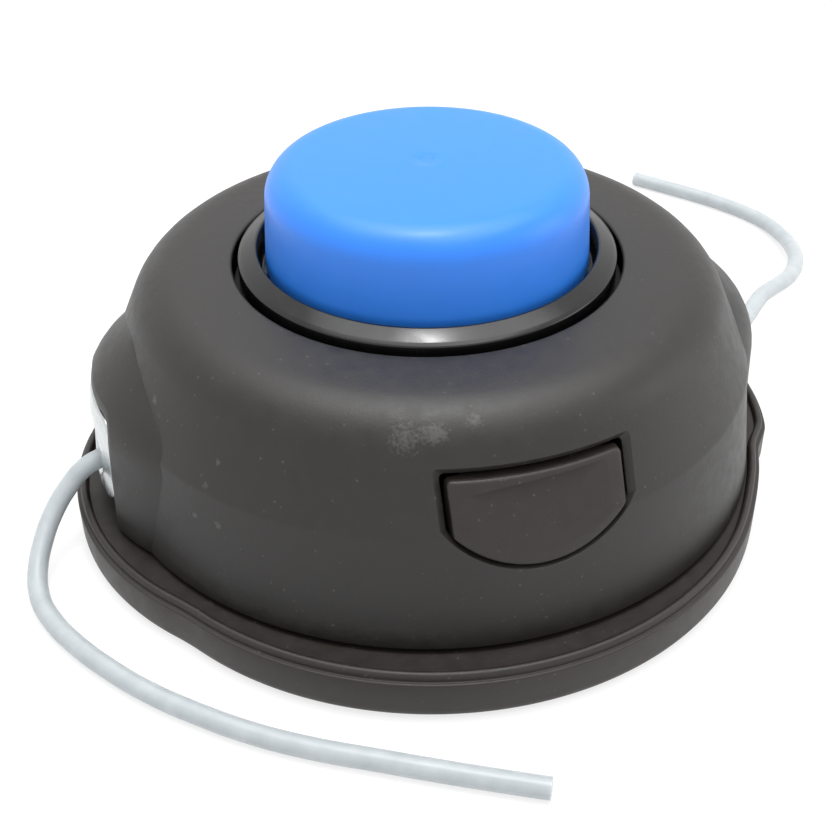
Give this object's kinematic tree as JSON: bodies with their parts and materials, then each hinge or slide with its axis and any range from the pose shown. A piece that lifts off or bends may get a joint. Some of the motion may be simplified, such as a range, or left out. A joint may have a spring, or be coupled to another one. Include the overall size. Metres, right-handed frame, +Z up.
{
  "type": "trimmer head",
  "caption": "Bump-feed trimmer head: domed cover latched to a threaded housing, with a line tail at each eyelet and a spinning bump button",
  "frame": {"origin": "middle of the plane that the housing's skirt stands on, which is its mounting face", "axes": "+Z up the axis of rotation through the bump button, +X through the right eyelet, +Y through the rear latch window"},
  "size_m": [0.1806, 0.1748, 0.0606],
  "materials": {
    "housing_black": "satin, fine moulded texture",
    "cover_black": "satin, fine moulded texture",
    "holder_black": "gloss",
    "button_blue": "satin, lightly scuffed",
    "spool_grey": "satin",
    "line_clear": "smooth, slightly milky",
    "eyelet_alloy": "polished",
    "insert_alloy": "turned",
    "spring_steel": "satin",
    "zinc_steel": "zinc plated",
    "bearing_steel": "ground",
    "ball_steel": "polished",
    "cage_nylon": "satin"
  },
  "bodies": {
    "head": {"upper_housing": "housing_black", "threaded_insert": "insert_alloy", "cover": "cover_black", "eyelet_left": "eyelet_alloy", "eyelet_right": "eyelet_alloy", "line_tail_left": "line_clear", "line_tail_right": "line_clear"},
    "spring_seat": {"spring": "spring_steel", "spring_washer": "zinc_steel"},
    "spool_group": {"spool": "spool_grey", "winding_lower": "line_clear", "winding_upper": "line_clear", "button_holder": "holder_black", "bearing_inner_ring": "bearing_steel", "holder_washer": "zinc_steel", "button_screw": "zinc_steel"},
    "cage_group": {"bearing_cage": "cage_nylon", "bearing_balls": "ball_steel"},
    "button_group": {"button_cap": "button_blue", "bearing_outer_ring": "bearing_steel", "bearing_shields": "bearing_steel", "button_circlip": "spring_steel"}
  },
  "joints": [
    {"name": "spool_turn", "type": "hinge", "parent": "head", "child": "spring_seat", "pos_m": [0, 0, 0], "axis": [0, 0, 1], "range_deg": [0, 30]},
    {"name": "tap", "type": "slide", "parent": "spring_seat", "child": "spool_group", "axis": [0, 0, -1], "range_m": [0, 0.007], "stiffness_N_per_m": 1200, "springref_m": -0.008, "deforming": ["spring"]},
    {"name": "button_spin", "type": "hinge", "parent": "spool_group", "child": "button_group", "pos_m": [0, 0, 0.0485], "axis": [0, 0, 1], "continuous": true},
    {"name": "cage_spin", "type": "hinge", "parent": "spool_group", "child": "cage_group", "pos_m": [0, 0, 0.0485], "axis": [0, 0, 1], "continuous": true}
  ],
  "couplings": [
    {"joint": "spool_turn", "follows": "tap", "rad_per_m": 74.79},
    {"joint": "cage_spin", "follows": "button_spin", "ratio": 0.619}
  ]
}
